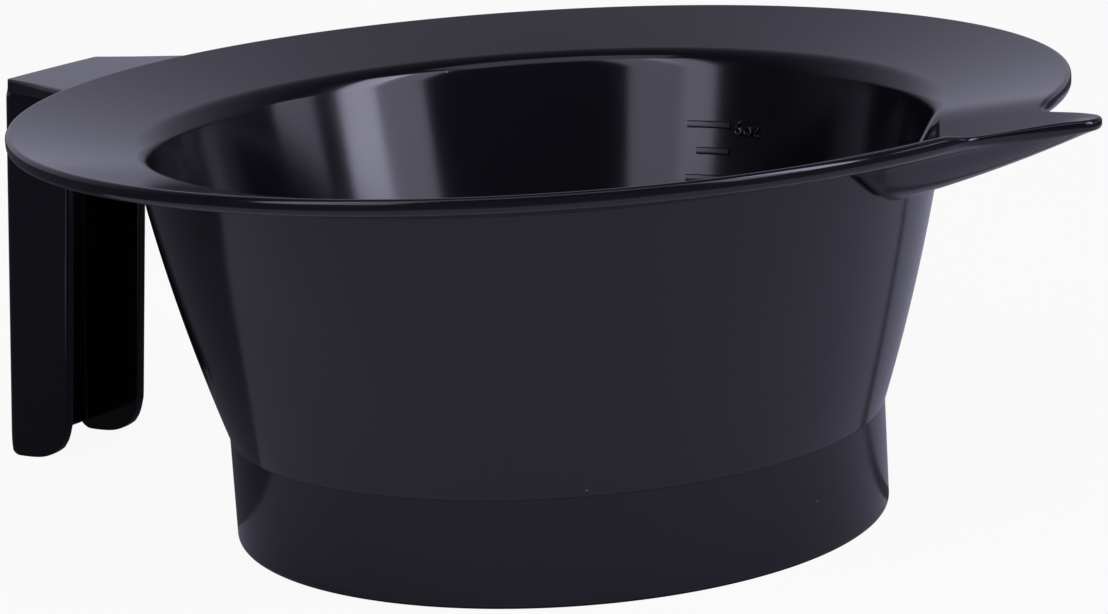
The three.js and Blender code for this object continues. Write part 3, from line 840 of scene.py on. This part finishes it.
class HAIRBOWL_OT_numerals(bpy.types.Operator):
    """Mould the raised numerals beside the even marks"""
    bl_idname = "hairbowl.numerals"
    bl_label = "Scale numerals"

    def execute(self, context):
        shape = CupShape(settings(context.scene.hairbowl_cup))
        group = context.scene.hairbowl_scale
        s = settings(group)
        cap_share = 0.7  # height of a numeral as a share of the font's size
        joined = bmesh.new()
        replaced = []
        for count, height in enumerate(mark_heights(), start=1):
            if count % 2:
                continue
            words = bpy.data.curves.new(f"numeral_{count}", "FONT")
            words.body = f"{count}{group.unit}"
            words.size = s["text_height"] / cap_share * MM
            words.space_character = 1.04
            words.extrude = s["relief"] / 2 * MM
            words.bevel_depth = 0.04 * MM
            words.bevel_resolution = 1
            words.resolution_u = 4
            holder = bpy.data.objects.new(f"numeral_{count}", words)
            context.scene.collection.objects.link(holder)
            flat = plain_copy(holder, f"numeral_{count}")
            start = min(v.co.x for v in flat.data.vertices)
            middle = height - s["text_drop"]
            for vertex in flat.data.vertices:
                x, y, lift = (c / MM for c in vertex.co)
                z = middle - s["text_height"] / 2 + y
                turn = s["end_angle"] - (s["text_gap"] + x - start / MM) / shape.inside(z)
                radius = shape.inside(z) - lift - s["relief"] / 2 + SUNK
                vertex.co = Vector((radius * math.cos(turn), radius * math.sin(turn), z)) * MM
            joined.from_mesh(flat.data)
            bpy.data.objects.remove(flat)
            replaced += [f"scale_label_{count}oz_{part}" for part in (str(count), "o", "z")]
        mesh = bpy.data.meshes.new("scale_numerals")
        joined.to_mesh(mesh)
        joined.free()
        piece = bpy.data.objects.new("scale_numerals", mesh)
        context.scene.collection.objects.link(piece)
        outward(mesh)
        finish_piece(piece, relief_plastic(), replaced)
        return {"FINISHED"}


# ---- Studio ----

CAMERA_PLACE = (280.16, -398.62, 142.63)
CAMERA_RIGHT = (0.82526, 0.56147, -0.06079)
CAMERA_DOWN = (0.07978, -0.22247, -0.97167)
CAMERA_LENS = 120.5
COOL = (0.94, 0.92, 1.2)
PAPER = "e6e6ea"
FLOOR_REACH = 3.0
BOARD_HEIGHT = 0.0004
# direction from the camera's own and height above the table, both in degrees, then width and
# length in metres, and brightness
SOFTBOXES = {
    "key_softbox": (59, 26, 0.24, 0.95, 6.4),
    "key_edge_softbox": (44, 26, 0.28, 0.95, 2.3),
    "fill_softbox": (-38, 26, 0.3, 0.95, 1.8),
    "fill_edge_softbox": (-53, 26, 0.22, 0.95, 2.7),
    "top_softbox": (-10, 66, 0.9, 0.5, 1.0),
    "side_softbox": (83, 8, 0.28, 0.2, 1.8),
}
# outlines of the white boards on the floor, in millimetres, which only reflections show
BOARDS = {
    "lit_board": [(-40, -28), (-105, -72), (-150, -110), (-120, -215), (60, -250), (230, -140),
                  (270, 60), (180, 250), (110, 210), (69, 96), (38, 14)],
    "lit_board_behind": [(34, 16), (64, 98), (104, 211), (60, 330), (-40, 300), (-20, 130), (10, 40)],
}


def softbox(name, turn, rise, width, height, radiance):
    """An area lamp 1 m from the bowl that faces it. `turn` is about +Z from +X, in degrees."""
    lamp = bpy.data.lights.new(name, "AREA")
    lamp.shape = "RECTANGLE"
    lamp.size, lamp.size_y = width, height
    lamp.energy = radiance * math.pi * width * height
    lamp.color = COOL
    holder = bpy.data.objects.new(name, lamp)
    bpy.context.scene.collection.objects.link(holder)
    a, e = math.radians(turn), math.radians(rise)
    direction = Vector((math.cos(a) * math.cos(e), math.sin(a) * math.cos(e), math.sin(e)))
    holder.location = direction + Vector((0, 0, 0.04))
    holder.rotation_mode = "QUATERNION"
    holder.rotation_quaternion = (-direction).to_track_quat("-Z", "Y")
    holder.visible_camera = False


def ground_material(finish):
    """Matt white paper. It gives a plain pale floor with only a faint shadow under the bowl; in
    reflections it is a dim painted shade.
    """
    material, tree = empty_material("matt_white_paper")
    paper = add_node(tree, "ShaderNodeBsdfDiffuse", {"Color": hex_to_linear(PAPER)})
    bright = add_node(tree, "ShaderNodeEmission", {"Color": finish.ground[:], "Strength": 1.0})
    # painted shade: glossy rays see the floor as this dim cool glow instead of lit paper
    shade = add_node(tree, "ShaderNodeEmission", {"Color": (*COOL, 1.0), "Strength": 0.07})
    path = add_node(tree, "ShaderNodeLightPath")
    share = add_node(tree, "ShaderNodeMath", {1: 0.95}, {0: path.outputs["Is Camera Ray"]},
                     operation="MULTIPLY")
    lit = add_node(tree, "ShaderNodeMixShader", None,
                   {0: path.outputs["Is Glossy Ray"], 1: paper.outputs[0], 2: shade.outputs[0]})
    both = add_node(tree, "ShaderNodeMixShader", None,
                    {0: share.outputs[0], 1: lit.outputs[0], 2: bright.outputs[0]})
    output = add_node(tree, "ShaderNodeOutputMaterial")
    tree.links.new(both.outputs[0], output.inputs["Surface"])
    return material


def board_material():
    """White foam board. It gives the plastic above it a broad pale reflection."""
    material, tree = empty_material("white_board")
    matt = add_node(tree, "ShaderNodeBsdfDiffuse", {"Color": hex_to_linear(PAPER)})
    output = add_node(tree, "ShaderNodeOutputMaterial")
    tree.links.new(matt.outputs[0], output.inputs["Surface"])
    return material


def studio_world(finish, toward_camera):
    """Dark in front, a softly lit backdrop behind, and plain white where the camera sees it."""
    world = bpy.data.worlds.new("studio")
    bpy.context.scene.world = world
    world.use_nodes = True
    tree = world.node_tree
    tree.nodes.clear()
    look = add_node(tree, "ShaderNodeTexCoord").outputs["Generated"]
    facing = add_node(tree, "ShaderNodeVectorMath", {1: toward_camera}, {0: look},
                      operation="DOT_PRODUCT")
    level = add_node(tree, "ShaderNodeMapRange",
                     {"From Min": 0.25, "From Max": -0.75, "To Min": 0.035, "To Max": 0.4},
                     {"Value": facing.outputs["Value"]}, interpolation_type="SMOOTHSTEP")
    height = add_node(tree, "ShaderNodeSeparateXYZ", None, {"Vector": look})
    fall = add_node(tree, "ShaderNodeMapRange",
                    {"From Min": 0.3, "From Max": 0.9, "To Min": 1.0, "To Max": 0.35},
                    {"Value": height.outputs["Z"]}, interpolation_type="SMOOTHSTEP")
    strength = add_node(tree, "ShaderNodeMath", None, {0: level.outputs[0], 1: fall.outputs[0]},
                        operation="MULTIPLY")
    dim = add_node(tree, "ShaderNodeBackground", {"Color": (*COOL, 1.0)},
                   {"Strength": strength.outputs[0]})
    plain = add_node(tree, "ShaderNodeBackground", {"Color": finish.ground[:], "Strength": 1.0})
    path = add_node(tree, "ShaderNodeLightPath")
    both = add_node(tree, "ShaderNodeMixShader", None,
                    {0: path.outputs["Is Camera Ray"], 1: dim.outputs[0], 2: plain.outputs[0]})
    output = add_node(tree, "ShaderNodeOutputWorld")
    tree.links.new(both.outputs[0], output.inputs["Surface"])


class HAIRBOWL_OT_studio(bpy.types.Operator):
    """Set up the floor, the lamps and the camera"""
    bl_idname = "hairbowl.studio"
    bl_label = "Studio"

    def execute(self, context):
        scene = context.scene
        finish = scene.hairbowl_finish
        mesh = bpy.data.meshes.new("paper_floor")
        corners = ((-1, -1), (1, -1), (1, 1), (-1, 1))
        mesh.from_pydata([(x * FLOOR_REACH, y * FLOOR_REACH, 0) for x, y in corners], [],
                         [(0, 1, 2, 3)])
        mesh.materials.append(ground_material(finish))
        ground = bpy.data.objects.new("paper_floor", mesh)
        scene.collection.objects.link(ground)

        view = bpy.data.cameras.new("camera")
        view.lens = CAMERA_LENS
        view.sensor_width = 36.0
        view.clip_start, view.clip_end = 0.01, 20.0
        camera = bpy.data.objects.new("camera", view)
        scene.collection.objects.link(camera)
        right, down = Vector(CAMERA_RIGHT), Vector(CAMERA_DOWN)
        rotation = Matrix((right, -down, right.cross(-down))).transposed()
        camera.matrix_world = Matrix.Translation(Vector(CAMERA_PLACE) * MM) @ rotation.to_4x4()
        scene.camera = camera

        toward = Vector(CAMERA_PLACE).xy.normalized()
        studio_world(finish, (toward.x, toward.y, 0.0))
        facing = math.degrees(math.atan2(toward.y, toward.x))
        for name, (turn, rise, width, height, radiance) in SOFTBOXES.items():
            softbox(name, facing + turn, rise, width, height, radiance * finish.lamp)

        board_paper = board_material()
        for name, outline in BOARDS.items():
            card = bpy.data.meshes.new(name)
            card.from_pydata([(x * MM, y * MM, BOARD_HEIGHT) for x, y in outline], [],
                             [range(len(outline))])
            card.materials.append(board_paper)
            board = bpy.data.objects.new(name, card)
            scene.collection.objects.link(board)
            board.visible_camera = board.visible_diffuse = board.visible_shadow = False
        scene.view_settings.view_transform = "Standard"
        scene.view_settings.look = "None"
        return {"FINISHED"}


class HAIRBOWL_PT_panel(bpy.types.Panel):
    """Lists the bowl's pieces in the sidebar"""
    bl_idname = "HAIRBOWL_PT_panel"
    bl_label = "Hair Colour Bowl"
    bl_space_type = "VIEW_3D"
    bl_region_type = "UI"
    bl_category = "Bowl"

    def draw(self, context):
        for name, group in GROUPS.items():
            box = self.layout.box()
            box.label(text=group.__doc__)
            holder = getattr(context.scene, name)
            for key in group.__annotations__:
                box.prop(holder, key)
        for operator in OPERATORS:
            self.layout.operator(operator.bl_idname)


GROUPS = {
    "hairbowl_cup": HAIRBOWL_PG_cup,
    "hairbowl_grip": HAIRBOWL_PG_grip,
    "hairbowl_scale": HAIRBOWL_PG_scale,
    "hairbowl_finish": HAIRBOWL_PG_finish,
}
OPERATORS = (
    HAIRBOWL_OT_studio,
    HAIRBOWL_OT_cup,
    HAIRBOWL_OT_foot,
    HAIRBOWL_OT_grip,
    HAIRBOWL_OT_marks,
    HAIRBOWL_OT_numerals,
)


def register():
    for item in (*GROUPS.values(), *OPERATORS, HAIRBOWL_PT_panel):
        bpy.utils.register_class(item)
    for name, group in GROUPS.items():
        setattr(bpy.types.Scene, name, PointerProperty(type=group))


def unregister():
    for name in GROUPS:
        delattr(bpy.types.Scene, name)
    for item in reversed((*GROUPS.values(), *OPERATORS, HAIRBOWL_PT_panel)):
        bpy.utils.unregister_class(item)


def main():
    register()
    bpy.ops.hairbowl.studio()
    bpy.ops.hairbowl.cup()
    bpy.ops.hairbowl.foot()
    bpy.ops.hairbowl.grip()
    bpy.ops.hairbowl.marks()
    bpy.ops.hairbowl.numerals()


if __name__ == "__main__":
    main()
